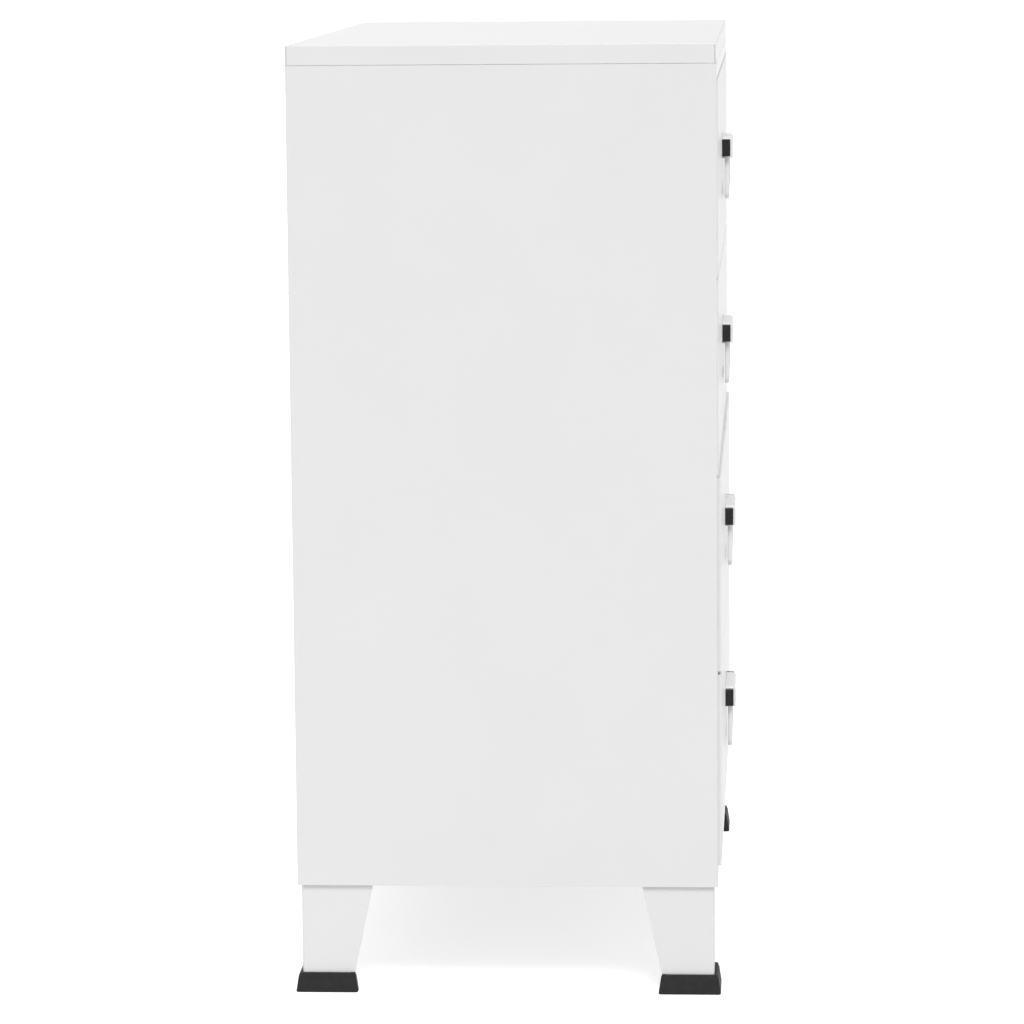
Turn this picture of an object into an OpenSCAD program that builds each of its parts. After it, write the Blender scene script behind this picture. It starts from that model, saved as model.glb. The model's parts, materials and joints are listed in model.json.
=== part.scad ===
// Sheet-metal drawer cabinet on four tapered legs, with four full-width drawers.
// X runs along the width, the front faces -Y, and +Z is up. Sizes are in millimetres.
// The origin is at the middle of the base of the cabinet's outer box.
// Drawer 1 is the top one. Pieces are drawn for the +X side and mirrored to the other.

/* [Cabinet] */
// Width over the two side panels
body_w = 780; // [560:10:1000]
// Depth of the side panels
body_d = 400; // [320:10:520]
// Height from the floor to the top of the lid
total_h = 900; // [740:10:1200]
// Height of the body's underside above the floor
leg_h = 104; // [80:2:140]
// Height of the lid, from the seam to its top
lid_h = 19; // [14:1:30]
// Thickness of the body's sheet
sheet_t = 0.8; // [0.6:0.1:1.2]
// Width of the folded edge on each side of the drawers
stile_w = 20; // [19:1:30]
// Height of the rail above and of the rail below the drawers
rail_h = 15; // [12:1:30]
// Height of the dark seam between the lid and the body
seam_h = 0.5; // [0.3:0.1:0.6]

/* [Drawers] */
// Gap between neighbouring drawer fronts
front_gap = 3; // [2:0.5:5]
// Gap between a drawer front and the folded edge beside it
side_gap = 1.5; // [1:0.25:3]
// Depth of a drawer front, which is a folded pan
front_depth = 17; // [14:1:24]
// How far a closed drawer front stands proud of the body
front_proud = 1; // [0:0.5:3]
// How far the third and fourth drawers stand open at rest
ajar_by = 2.5; // [0:0.5:6]
// Travel of a drawer from closed to its stop
travel = 300; // [200:10:300]
// Height of a tray's floor above the lower edge of its front
tray_rise = 12; // [10:1:20]
// Height left free between a tray and the one above it
tray_head = 46.75; // [40:0.25:70]
// Free depth behind a closed tray
tray_rear_gap = 29; // [20:1:60]

/* [Runners] */
// Radius of the rollers
roller_r = 9; // [7:0.5:10]
// Width of the rollers
roller_w = 7; // [5:0.5:8]
// Radius of the rollers' axle pins
pin_r = 2.4; // [1.5:0.1:3]
// Clearance of a pin or a bail pivot in its bore
pin_gap = 0.1; // [0.05:0.01:0.1]
// Running gap between a roller and what it rolls on
run_gap = 0.3; // [0.2:0.05:0.5]
// Thickness of the channels' and drawer rails' steel
runner_t = 1.2; // [1:0.1:1.5]

/* [Handles] */
// Length over the two end blocks
handle_l = 108; // [80:2:160]
// Height of the end blocks' middle above the middle of the drawer front
handle_rise = 11.5; // [0:0.5:30]
// Height of an end block
block_h = 17; // [14:1:24]
// How far an end block stands out from the drawer front
block_out = 8.2; // [7:0.1:12]
// Width of an end block
block_w = 7; // [6:0.5:12]
// How far the hood stands out from the drawer front
hood_out = 10.5; // [9:0.5:16]
// Thickness of the hood's sheet
hood_t = 1.5; // [1:0.1:2]
// Thickness of the bail
bail_t = 4.6; // [3.4:0.1:5]
// Drop of the bail from its pivot to its lower edge
bail_drop = 52; // [40:1:70]
// Height of the bail's grip
grip_h = 12; // [8:1:18]

/* [Legs] */
// Distance of a leg's faces from the body's faces
leg_inset = 3.5; // [0:0.5:10]
// Width of a leg's faces at the top
leg_top_w = 68; // [60:1:90]
// Width of a leg's faces where they enter the cap
leg_foot_w = 50; // [40:1:58]
// Thickness of the legs' steel
leg_t = 1.5; // [1.2:0.1:2.5]
// Height of the rubber caps
cap_h = 18.5; // [14:0.5:26]
// Overhang of a cap's top beyond a leg's outer faces
cap_over = 3.6; // [2:0.1:6]
// How much further out a cap reaches at the floor than at its top
cap_flare = 2.8; // [0:0.1:5]

/* [Hidden] */
$fn = 48;
rows = [1, 2, 3, 4];
ends = ["front", "rear"];
sides = ["left", "right"];

// Colours
white_c = "#eeeeee";
inner_c = "#e2e2e2";
zinc_c = "#b9bcc0";
black_c = "#1f1f20";
rubber_c = "#353536";
roller_c = "#d9d5c8";

// Planes of the body. The depth is shifted so that the outer box is centred on the origin.
half_w = body_w / 2;
front_reach = front_proud + ajar_by + hood_out;
rear_reach = cap_over + cap_flare - leg_inset;
front_y = -body_d / 2 + (front_reach - rear_reach) / 2;
rear_y = front_y + body_d;
body_top = total_h - lid_h;
inner_half = half_w - sheet_t;
clear_half = half_w - stile_w;
open_lo = leg_h + rail_h;
open_hi = body_top - rail_h;
pitch = (open_hi - open_lo) / len(rows);

// Folded edges
flange_w = 18;
return_d = 46;
lid_flange_w = 16;
corner_gap = 0.4;
base_lip = 20;
base_front_lip = 12;
fit_gap = 0.3;

// Rails behind the drawer fronts
rail_clear = 3;
rail_set = front_depth - front_proud + rail_clear;
rail_d = rail_set + 1;
rail_lip = 9;
cross_h = 16;
bumper_r = 3;
bumper_rise = 4.8;
bumper_inset = 60;

// Drawer fronts and trays
front_half = clear_half - side_gap;
front_lip = 12;
tray_l = body_d - front_depth + front_proud - tray_rear_gap;
tray_h = pitch - tray_head;
tray_hem = 7;
function ajar(k) = k > 2 ? ajar_by : 0;
function zone_lo(k) = open_hi - k * pitch;
function front_lo(k) = zone_lo(k) + front_gap / 2;
function front_hi(k) = zone_lo(k) + pitch - front_gap / 2;
function face_y(k) = front_y - front_proud - ajar(k);
function tray_y(k) = face_y(k) + front_depth;
function tray_lo(k) = front_lo(k) + tray_rise;

// Runners. Heights are measured from the top face of a channel's lower flange.
channel_reach = 15.5;
rail_rise = 4;
rail_web_lo = 2;
stud_shoulder = 4;
stud_head_r = 3.6;
stud_head_w = 1.1;
axial_gap = 0.3;
front_axis_z = 3.5;
rear_axis_z = roller_r + run_gap;
rail_under = front_axis_z + roller_r + run_gap;
channel_h = 2 * roller_r + 3 * run_gap;
rear_axis_set = 12;
front_axis_set = roller_r + 2;
stop_lo = rail_under + runner_t + 1.4;
channel_y0 = front_y + rail_set;
channel_y1 = rear_y - 12;
roller_x0 = clear_half - channel_reach + 1.5;
roller_x1 = roller_x0 + roller_w;
tray_half = clear_half - channel_reach - runner_t - 1.3;
upright_d = 45;
roller_dish = 0.8;
function channel_z(k) = tray_lo(k) + rail_rise;
function rear_axis_y(k) = tray_y(k) + tray_l - rear_axis_set;
stop_y = front_y - front_proud + front_depth + tray_l - rear_axis_set - travel
         - sqrt(pow(roller_r, 2) - pow(stop_lo - rear_axis_z, 2)) - run_gap;

// Handles
block_in = handle_l / 2 - block_w;
arm_gap = 0.3;
arm_w = 4.5;
arm_out = block_in - arm_gap;
hood_half = arm_out - arm_w - 0.4;
hood_over = 1.5;
hood_under = 2.5;
hood_r = 4;
bail_gap = 2.4;
pivot_out = bail_gap + bail_t / 2;
pivot_r = 1.5;
pivot_l = 5;
handle_screw_r = 1.45;
handle_screw_rise = 5;
handle_screw_l = 5;
handle_head_r = 2.8;
handle_head_h = 1.8;
hood_screw_x = 25;
access_r = 4.5;
function handle_z(k) = (front_lo(k) + front_hi(k)) / 2 + handle_rise;

// Legs and caps. Distances run inwards from the leg's outer corner.
leg_reveal = 0.8;
leg_tongue = 4;
cap_floor = 4;
cap_in = 0.3;
cap_wall = 3;
leg_flange_in = 8;
bolt_r = 2.9;
bolt_hole_r = 3.2;
bolt_head_r = 5.6;
bolt_head_h = 4;
nut_h = 5;
bolt_l = 14;
bolt_places = [[30, 44], [44, 30]];

// Screws of the panels
screw_r = 1.9;
screw_hole_r = 2.1;
screw_head_r = 3.8;
screw_head_h = 2.2;
screw_l = 6;
back_screw_x = half_w - 10;
back_screw_z = [for (i = [0:4]) leg_h + 50 + i * (body_top - leg_h - 90) / 4];
lid_screw_x = half_w - 9;
lid_screw_y = [for (i = [0:2]) front_y + 60 + i * (body_d - 120) / 2];
runner_screw_y = [front_y + 39.5, channel_y1 - 10];

// A box between two opposite corners
module block(lo, hi) {
    translate(lo) cube(hi - lo);
}

// The pieces on the +X side and their mirror images
module both_sides() {
    children();
    mirror([1, 0, 0]) children();
}

// A round bar along +X, from x0 to x1
module bar_x(x0, x1, y, z, r) {
    translate([x0, y, z]) rotate([0, 90, 0]) cylinder(r = r, h = x1 - x0);
}

// A round bar along +Y, from y0 to y1
module bar_y(y0, y1, x, z, r) {
    translate([x, y0, z]) rotate([-90, 0, 0]) cylinder(r = r, h = y1 - y0);
}

// A round bar along +Z, from z0 to z1
module bar_z(z0, z1, x, y, r) {
    translate([x, y, z0]) cylinder(r = r, h = z1 - z0);
}

// An outline in the Y-Z plane, extruded along +X from x0 to x1
module along_x(x0, x1) {
    translate([x0, 0, 0]) rotate([90, 0, 90]) linear_extrude(x1 - x0) children();
}

// An outline in the X-Z plane, extruded along +Y from y0 to y1
module along_y(y0, y1) {
    translate([0, y1, 0]) rotate([90, 0, 0]) linear_extrude(y1 - y0) children();
}

// Holes for the channels' screws through whatever stands between x0 and x1
module runner_screw_holes(x0, x1, ks, ys) {
    for (k = ks) for (y = ys)
        bar_x(x0, x1, y, channel_z(k) + rear_axis_z, screw_hole_r);
}

// One side panel: skin, front edge with its return, rear flange and top flange
module side() {
    color(white_c) difference() {
        union() {
            block([inner_half, front_y, leg_h], [half_w, rear_y, body_top]);
            block([clear_half, front_y, leg_h], [half_w, front_y + sheet_t, body_top]);
            block([clear_half, front_y, leg_h + sheet_t],
                  [clear_half + sheet_t, front_y + return_d, body_top]);
            block([half_w - flange_w, rear_y - sheet_t, leg_h], [half_w, rear_y, body_top]);
            block([half_w - flange_w, front_y, body_top - sheet_t], [half_w, rear_y, body_top]);
        }
        runner_screw_holes(clear_half - 1, clear_half + 2, rows, [runner_screw_y[0]]);
        for (z = back_screw_z) bar_y(rear_y - 2, rear_y + 1, back_screw_x, z, screw_hole_r);
        for (y = lid_screw_y) bar_z(body_top - 2, body_top + 1, lid_screw_x, y, screw_hole_r);
    }
}

// Back panel, held inside the side panels' rear flanges, with a folded top edge
module back_panel() {
    half = inner_half - fit_gap;
    flange_half = half_w - flange_w - fit_gap;
    color(white_c) difference() {
        union() {
            block([-half, rear_y - 2 * sheet_t, leg_h], [half, rear_y - sheet_t, body_top - sheet_t]);
            block([-flange_half, rear_y - rail_d, body_top - sheet_t],
                  [flange_half, rear_y - sheet_t, body_top]);
        }
        both_sides() for (z = back_screw_z)
            bar_y(rear_y - 3, rear_y, back_screw_x, z, screw_hole_r);
    }
}

// Bottom of the body, a pan whose upturned edges are fixed to the sides, back and front rail
module base_pan() {
    y0 = front_y + sheet_t;
    y1 = rear_y - 2 * sheet_t;
    z1 = leg_h + sheet_t;
    color(white_c) difference() {
        union() {
            block([-inner_half, y0, leg_h], [inner_half, y1, z1]);
            both_sides()
                block([inner_half - sheet_t, y0, leg_h], [inner_half, y1, z1 + base_lip]);
            block([-inner_half, y1 - sheet_t, leg_h], [inner_half, y1, z1 + base_lip]);
            block([-clear_half + fit_gap, y0, leg_h],
                  [clear_half - fit_gap, y0 + sheet_t, leg_h + base_front_lip]);
        }
        for (e = ends) for (s = sides) at_leg(e, s) for (p = bolt_places)
            bar_z(leg_h - 1, z1 + 1, p[0], p[1], bolt_hole_r);
    }
}

// Lid: top sheet, skirts with a thin open joint at each corner, and a flange that rests on the body
module top_lid() {
    skirt_lo = body_top + seam_h;
    color(white_c) difference() {
        union() {
            block([-half_w, front_y, total_h - sheet_t], [half_w, rear_y, total_h]);
            block([-half_w, front_y, skirt_lo], [half_w, front_y + sheet_t, total_h]);
            block([-half_w, rear_y - sheet_t, skirt_lo], [half_w, rear_y, total_h]);
            both_sides() {
                block([inner_half, front_y + sheet_t + corner_gap, skirt_lo],
                      [half_w, rear_y - sheet_t - corner_gap, total_h]);
                block([inner_half - lid_flange_w, front_y + sheet_t, body_top],
                      [inner_half, rear_y - sheet_t, body_top + sheet_t]);
            }
            for (y = [front_y + sheet_t, rear_y - sheet_t - lid_flange_w])
                block([-inner_half, y, body_top], [inner_half, y + lid_flange_w, body_top + sheet_t]);
        }
        both_sides() for (y = lid_screw_y)
            bar_z(body_top - 1, body_top + 2, lid_screw_x, y, screw_hole_r);
    }
}

// Rail above the drawers, with a lip that hangs behind the top drawer's front
module top_rail() {
    color(white_c) {
        block([-clear_half, front_y, open_hi], [clear_half, front_y + sheet_t, body_top]);
        block([-clear_half, front_y, body_top - sheet_t], [clear_half, front_y + rail_d, body_top]);
        block([-clear_half, front_y, open_hi],
              [clear_half, front_y + rail_set + sheet_t, open_hi + sheet_t]);
        block([-clear_half, front_y + rail_set, open_hi - rail_lip],
              [clear_half, front_y + rail_set + sheet_t, open_hi + sheet_t]);
    }
}

// Rail below the drawers, with a lip that stands behind the lowest drawer's front
module bottom_rail() {
    color(white_c) {
        block([-clear_half, front_y, leg_h], [clear_half, front_y + sheet_t, open_lo]);
        block([-clear_half, front_y, open_lo - sheet_t],
              [clear_half, front_y + rail_set + sheet_t, open_lo]);
        block([-clear_half, front_y + rail_set, open_lo - sheet_t],
              [clear_half, front_y + rail_set + sheet_t, open_lo + rail_lip]);
    }
}

// Channel-shaped rails behind the gaps between the drawer fronts
module cross_rails() {
    y0 = front_y + rail_set;
    color(white_c) for (k = [1:len(rows) - 1]) {
        z0 = zone_lo(k) - cross_h / 2;
        z1 = zone_lo(k) + cross_h / 2;
        block([-clear_half, y0, z0], [clear_half, y0 + sheet_t, z1]);
        for (z = [z0, z1 - sheet_t])
            block([-clear_half, y0, z], [clear_half, y0 + rail_d, z + sheet_t]);
    }
}

// Rubber buttons that the closed drawer fronts meet
module drawer_bumpers() {
    y1 = front_y + rail_set;
    y0 = y1 - rail_clear + run_gap;
    color(rubber_c) both_sides() for (k = rows)
        bar_y(y0, y1, clear_half - bumper_inset, zone_lo(k) + bumper_rise, bumper_r);
}

// Rear uprights, which carry the rear ends of the channels
module rear_uprights() {
    y0 = rear_y - upright_d;
    y1 = rear_y - 2 * sheet_t;
    z0 = leg_h + base_lip + 3 * sheet_t;
    z1 = body_top - sheet_t;
    color(zinc_c) both_sides() difference() {
        union() {
            block([clear_half, y0, z0], [clear_half + sheet_t, y1, z1]);
            block([clear_half, y0, z0], [inner_half, y0 + sheet_t, z1]);
            block([clear_half, y1 - sheet_t, z0], [inner_half, y1, z1]);
        }
        runner_screw_holes(clear_half - 1, clear_half + 2, rows, [runner_screw_y[1]]);
        for (z = back_screw_z) bar_y(y1 - 2, y1 + 1, back_screw_x, z, screw_hole_r);
    }
}

// Left and right channels of one drawer, each with its front roller's axle and the drawer stop
module runner_channels(k) {
    z = channel_z(k);
    web_x = clear_half - runner_t;
    axis_y = channel_y0 + front_axis_set;
    axis_z = z + front_axis_z;
    color(zinc_c) both_sides() difference() {
        union() {
            block([web_x, channel_y0, z - runner_t], [clear_half, channel_y1, z + channel_h + runner_t]);
            block([clear_half - channel_reach, channel_y0, z + channel_h],
                  [clear_half, channel_y1, z + channel_h + runner_t]);
            block([clear_half - channel_reach, axis_y + roller_r + 2, z - runner_t],
                  [clear_half, channel_y1, z]);
            block([clear_half - channel_reach, stop_y - runner_t, z + stop_lo],
                  [clear_half, stop_y, z + channel_h + runner_t]);
            bar_x(roller_x1 + axial_gap, clear_half, axis_y, axis_z, stud_shoulder);
            bar_x(roller_x0 - axial_gap, clear_half, axis_y, axis_z, pin_r);
            bar_x(roller_x0 - axial_gap - stud_head_w, roller_x0 - axial_gap, axis_y, axis_z, stud_head_r);
        }
        runner_screw_holes(web_x - 1, clear_half + 1, [k], runner_screw_y);
    }
}

// A roller with a bore and dished faces, its middle at the given height and depth
module roller(y, z) {
    difference() {
        bar_x(roller_x0, roller_x1, y, z, roller_r);
        bar_x(roller_x0 - 1, roller_x1 + 1, y, z, pin_r + pin_gap);
        for (x = [roller_x0 - 1, roller_x1 - roller_dish]) difference() {
            bar_x(x, x + roller_dish + 1, y, z, roller_r - 1.5);
            bar_x(x - 1, x + roller_dish + 2, y, z, stud_shoulder);
        }
    }
}

// Rollers on the channels' front ends
module front_rollers(k) {
    color(roller_c) both_sides()
        roller(channel_y0 + front_axis_set, channel_z(k) + front_axis_z);
}

// Rollers on the drawer rails' rear ends
module rear_rollers(k) {
    color(roller_c) both_sides() roller(rear_axis_y(k), channel_z(k) + rear_axis_z);
}

// Left and right rails on the tray, each with its rear roller's axle
module drawer_rails(k) {
    z = channel_z(k);
    y0 = tray_y(k);
    y = rear_axis_y(k);
    axis_z = z + rear_axis_z;
    web_x = tray_half + runner_t;
    color(zinc_c) both_sides() {
        block([tray_half, y0, z + rail_web_lo], [web_x, y0 + tray_l, z + rail_under + runner_t]);
        block([tray_half, y0 + 2, z + rail_under],
              [roller_x1 - 1.8, y - roller_r - 2, z + rail_under + runner_t]);
        bar_x(web_x, roller_x0 - axial_gap, y, axis_z, stud_shoulder);
        bar_x(web_x, roller_x1 + axial_gap, y, axis_z, pin_r);
        bar_x(roller_x1 + axial_gap, roller_x1 + axial_gap + stud_head_w, y, axis_z, stud_head_r);
    }
}

// Places of the handle's screws on the drawer front, as x and z
function handle_screw_places(k) = [
    for (sx = [-1, 1]) each [
        [sx * (block_in + block_w / 2), handle_z(k) + handle_screw_rise],
        [sx * hood_screw_x, handle_z(k)]
    ]
];

// Drawer front, a pan of folded sheet, open at the back
module drawer_front(k) {
    y0 = face_y(k);
    y1 = y0 + front_depth;
    lo = front_lo(k);
    hi = front_hi(k);
    in_x = front_half - sheet_t;
    lip_x = front_half - front_lip;
    color(white_c) difference() {
        block([-front_half, y0, lo], [front_half, y1, hi]);
        block([-in_x, y0 + sheet_t, lo + sheet_t], [in_x, y1 - sheet_t, hi - sheet_t]);
        block([-lip_x, y1 - sheet_t - 1, lo + front_lip], [lip_x, y1 + 1, hi - front_lip]);
        for (p = handle_screw_places(k))
            bar_y(y0 - 1, y0 + sheet_t + 1, p[0], p[1], handle_screw_r + pin_gap);
    }
}

// Drawer tray, an open box whose rims are folded outwards
module drawer_tray(k) {
    y0 = tray_y(k);
    y1 = y0 + tray_l;
    lo = tray_lo(k);
    hi = lo + tray_h;
    in_x = tray_half - sheet_t;
    color(inner_c) difference() {
        union() {
            block([-tray_half, y0, lo], [tray_half, y1, hi]);
            block([-tray_half - tray_hem, y0, hi - sheet_t],
                  [tray_half + tray_hem, y1 + tray_hem, hi]);
        }
        block([-in_x, y0 + sheet_t, lo + sheet_t], [in_x, y1 - sheet_t, hi + 1]);
        for (p = handle_screw_places(k))
            bar_y(y0 - 1, y0 + sheet_t + 1, p[0], p[1], access_r);
    }
}

// Outline of the hood: back plate, top and front wall, rounded at the top front edge
module hood_outline(out, top, r) {
    translate([-out, 0]) square([out, top - r]);
    translate([r - out, 0]) square([out - r, top]);
    translate([r - out, top - r]) circle(r = r);
}

// Hood over the bail's grip space, with closed ends
module handle_hood(k) {
    y = face_y(k);
    lo = handle_z(k) - block_h / 2 - hood_under;
    h = block_h + hood_under + hood_over;
    color(white_c) difference() {
        translate([0, y, lo]) along_x(-hood_half, hood_half) hood_outline(hood_out, h, hood_r);
        translate([0, y - hood_t, lo - 1]) along_x(hood_t - hood_half, hood_half - hood_t)
            hood_outline(hood_out - 2 * hood_t, h - hood_t + 1, hood_r - hood_t);
        for (sx = [-1, 1])
            bar_y(y - hood_t - 1, y + 1, sx * hood_screw_x, handle_z(k), handle_screw_r + pin_gap / 2);
    }
}

// End blocks that hold the bail's pivots
module handle_blocks(k) {
    y = face_y(k);
    z = handle_z(k);
    color(black_c) both_sides() difference() {
        block([block_in, y - block_out, z - block_h / 2], [block_in + block_w, y, z + block_h / 2]);
        bar_x(block_in - 1, block_in + pivot_l, y - pivot_out, z, pivot_r + pin_gap);
        bar_y(y - handle_screw_l - 0.4, y + 1, block_in + block_w / 2, z + handle_screw_rise,
              handle_screw_r + pin_gap / 2);
    }
}

// Bail: two arms with pivots, and a grip between them
module handle_bail(k) {
    y = face_y(k) - pivot_out;
    z = handle_z(k);
    half_t = bail_t / 2;
    color(white_c) {
        both_sides() {
            block([arm_out - arm_w, y - half_t, z - bail_drop], [arm_out, y + half_t, z]);
            bar_x(arm_out - arm_w, arm_out, y, z, half_t);
            bar_x(arm_out - arm_w, arm_out + pivot_l, y, z, pivot_r);
        }
        block([-arm_out, y - half_t, z - bail_drop], [arm_out, y + half_t, z - bail_drop + grip_h]);
    }
}

// Screws that hold the handle from inside the drawer front
module handle_screws(k) {
    y = face_y(k) + sheet_t;
    color(zinc_c) for (p = handle_screw_places(k)) {
        bar_y(face_y(k) - handle_screw_l, y, p[0], p[1], handle_screw_r);
        bar_y(y, y + handle_head_h, p[0], p[1], handle_head_r);
    }
}

// Moves its children from the leg's own frame, with +X and +Y inwards, to one corner
module at_leg(e, s) {
    x = (half_w - leg_inset) * (s == "left" ? -1 : 1);
    y = e == "front" ? front_y + leg_inset : rear_y - leg_inset;
    translate([x, y, 0])
        mirror([s == "left" ? 0 : 1, 0, 0])
            mirror([0, e == "front" ? 0 : 1, 0])
                children();
}

// Outline of one face of a leg, with the tongue that goes into the cap
module leg_outline() {
    polygon([
        [0, cap_floor],
        [leg_foot_w - leg_tongue, cap_floor],
        [leg_foot_w - leg_tongue, cap_h],
        [leg_foot_w, cap_h],
        [leg_top_w, leg_h - leg_reveal],
        [0, leg_h - leg_reveal]
    ]);
}

// A leg: two tapered faces bent to an angle, with a flange that bolts under the base
module leg(e, s) {
    flange = leg_top_w - leg_flange_in;
    color(white_c) at_leg(e, s) difference() {
        union() {
            along_x(0, leg_t) leg_outline();
            along_y(0, leg_t) leg_outline();
            block([leg_t, leg_t, leg_h - leg_t], [flange, flange, leg_h]);
        }
        for (p = bolt_places) bar_z(leg_h - leg_t - 1, leg_h + 1, p[0], p[1], bolt_hole_r);
    }
}

// Outline of a cap, which flares towards the floor
module cap_outline() {
    polygon([
        [-cap_over - cap_flare, 0],
        [leg_foot_w + cap_in + cap_flare, 0],
        [leg_foot_w + cap_in, cap_h],
        [-cap_over, cap_h]
    ]);
}

// Rubber cap with a slot for the leg's tongue, bent to an angle as the leg is
module foot_cap(e, s) {
    far = 2 * leg_foot_w;
    slot_end = leg_foot_w - leg_tongue + fit_gap;
    inner = leg_t + fit_gap + cap_wall;
    color(rubber_c) at_leg(e, s) difference() {
        intersection() {
            along_x(-far, far) cap_outline();
            along_y(-far, far) cap_outline();
        }
        block([-fit_gap / 2, -fit_gap / 2, cap_floor], [leg_t + fit_gap / 2, slot_end, cap_h + 1]);
        block([-fit_gap / 2, -fit_gap / 2, cap_floor], [slot_end, leg_t + fit_gap / 2, cap_h + 1]);
        block([inner, inner, -1], [far, far, cap_h + 1]);
    }
}

// Bolts up through the legs' flanges, with nuts on the base
module leg_bolts() {
    top = leg_h + sheet_t;
    head_lo = leg_h - leg_t - bolt_head_h;
    color(zinc_c) for (e = ends) for (s = sides) at_leg(e, s) for (p = bolt_places) {
        translate([p[0], p[1], head_lo]) cylinder(r = bolt_head_r, h = bolt_head_h, $fn = 6);
        bar_z(head_lo, head_lo + bolt_head_h + bolt_l, p[0], p[1], bolt_r);
        translate([p[0], p[1], top]) cylinder(r = bolt_head_r, h = nut_h, $fn = 6);
    }
}

// Screws of the back panel, of the lid and of the channels
module panel_screws() {
    color(zinc_c) both_sides() {
        for (z = back_screw_z) {
            bar_y(rear_y, rear_y + screw_head_h, back_screw_x, z, screw_head_r);
            bar_y(rear_y - screw_l, rear_y, back_screw_x, z, screw_r);
        }
        for (y = lid_screw_y) {
            bar_z(body_top - sheet_t - screw_head_h, body_top - sheet_t, lid_screw_x, y, screw_head_r);
            bar_z(body_top - sheet_t, body_top + screw_l, lid_screw_x, y, screw_r);
        }
        for (k = rows) for (y = runner_screw_y) {
            z = channel_z(k) + rear_axis_z;
            x = clear_half - runner_t;
            bar_x(x - screw_head_h, x, y, z, screw_head_r);
            bar_x(x, x + screw_l, y, z, screw_r);
        }
    }
}

mirror([1, 0, 0]) side();  // side_left
side();  // side_right
back_panel();
base_pan();
top_lid();
top_rail();
bottom_rail();
cross_rails();
rear_uprights();
drawer_bumpers();
leg_bolts();
panel_screws();
for (e = ends) for (s = sides) {
    leg(e, s);
    foot_cap(e, s);
}
for (k = rows) {
    runner_channels(k);
    front_rollers(k);
    drawer_front(k);
    drawer_tray(k);
    drawer_rails(k);
    rear_rollers(k);
    handle_hood(k);
    handle_blocks(k);
    handle_bail(k);
    handle_screws(k);
}
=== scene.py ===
"""The looks of a white sheet-metal drawer cabinet: its finishes, its rounded folds and its studio.

Sizes are in metres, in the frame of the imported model: X runs along the width, the drawers open
towards -Y and Z is up. Drawer 1 is the top one.
"""
import json
import logging
import math
from dataclasses import dataclass, field
from enum import Enum
from typing import Callable, Optional, Protocol, Sequence

import bmesh
import bpy
from mathutils import Matrix, Vector


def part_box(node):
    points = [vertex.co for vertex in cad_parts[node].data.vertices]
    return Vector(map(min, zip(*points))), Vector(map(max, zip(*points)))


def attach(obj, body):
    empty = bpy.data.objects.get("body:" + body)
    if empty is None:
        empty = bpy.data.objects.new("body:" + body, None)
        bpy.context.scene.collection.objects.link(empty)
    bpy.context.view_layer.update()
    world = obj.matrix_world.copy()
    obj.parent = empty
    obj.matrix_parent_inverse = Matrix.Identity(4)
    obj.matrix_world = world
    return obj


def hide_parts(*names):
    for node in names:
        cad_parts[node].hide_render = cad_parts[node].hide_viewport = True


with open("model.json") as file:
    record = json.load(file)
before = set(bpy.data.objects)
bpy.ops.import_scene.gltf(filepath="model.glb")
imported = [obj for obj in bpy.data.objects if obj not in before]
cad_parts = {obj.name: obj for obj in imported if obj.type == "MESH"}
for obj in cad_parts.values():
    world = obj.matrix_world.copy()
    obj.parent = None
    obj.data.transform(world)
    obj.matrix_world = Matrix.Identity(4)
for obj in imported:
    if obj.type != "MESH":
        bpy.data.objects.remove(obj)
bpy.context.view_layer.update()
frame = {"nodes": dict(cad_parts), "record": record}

LOG = logging.getLogger("cabinet")
MM = 0.001
ROWS = (1, 2, 3, 4)
WELD_REACH = 0.002 * MM
PLANE_REACH = 0.01 * MM
FOLD_STEPS = 5
ROUND_PROFILE = 0.5
CUT_EDGE_DEG = 50.0
CUT_EDGE_STEPS = 2
Flat = tuple[float, float]
Point = tuple[float, float, float]
Colour = tuple[float, float, float]
Socket = bpy.types.NodeSocket
Material = bpy.types.Material
Piece = bpy.types.Object
Mesh = bmesh.types.BMesh
Vert = bmesh.types.BMVert
Edge = bmesh.types.BMEdge
Row = list[Vert]
Rings = Sequence[Sequence[Point]]


class Slot(Enum):
    """The record's material slots."""

    BODY = "body_enamel"
    FRONT = "front_enamel"
    TRAY = "tray_enamel"
    HANDLE = "handle_enamel"
    BLOCK = "black_plastic"
    RUBBER = "black_rubber"
    ROLLER = "roller_nylon"
    ZINC = "zinc_steel"


class Side(Enum):
    """The cabinet's sides."""

    LEFT = "left"
    RIGHT = "right"

    @property
    def inwards(self) -> float:
        """The way inwards along X."""
        return 1.0 if self is Side.LEFT else -1.0


class End(Enum):
    """The cabinet's front and rear."""

    FRONT = "front"
    REAR = "rear"

    @property
    def inwards(self) -> float:
        """The way inwards along Y."""
        return 1.0 if self is End.FRONT else -1.0


class Part(Protocol):
    """A part of the scene that builds its own pieces."""

    def build(self) -> list[Piece]:
        """Builds the part and returns its pieces."""


def toned(colour: Colour, factor: float) -> Colour:
    """A colour made darker or paler by a factor."""
    return tuple(c * factor for c in colour)


def rectangle(low: Flat, high: Flat) -> list[Flat]:
    """A rectangle's corners, anticlockwise from its lowest one."""
    return [low, (high[0], low[1]), high, (low[0], high[1])]


def arc(middle: Flat, radius: float, start_deg: float, turn_deg: float, steps: int) -> list[Flat]:
    """Points along an arc, from its start to the end of its turn."""
    angles = [math.radians(start_deg + turn_deg * i / steps) for i in range(steps + 1)]
    return [(middle[0] + radius * math.cos(a), middle[1] + radius * math.sin(a)) for a in angles]


def in_scene(name: str, data: bpy.types.ID) -> Piece:
    """Adds an object of some data to the scene."""
    piece = bpy.data.objects.new(name, data)
    bpy.context.scene.collection.objects.link(piece)
    return piece


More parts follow.
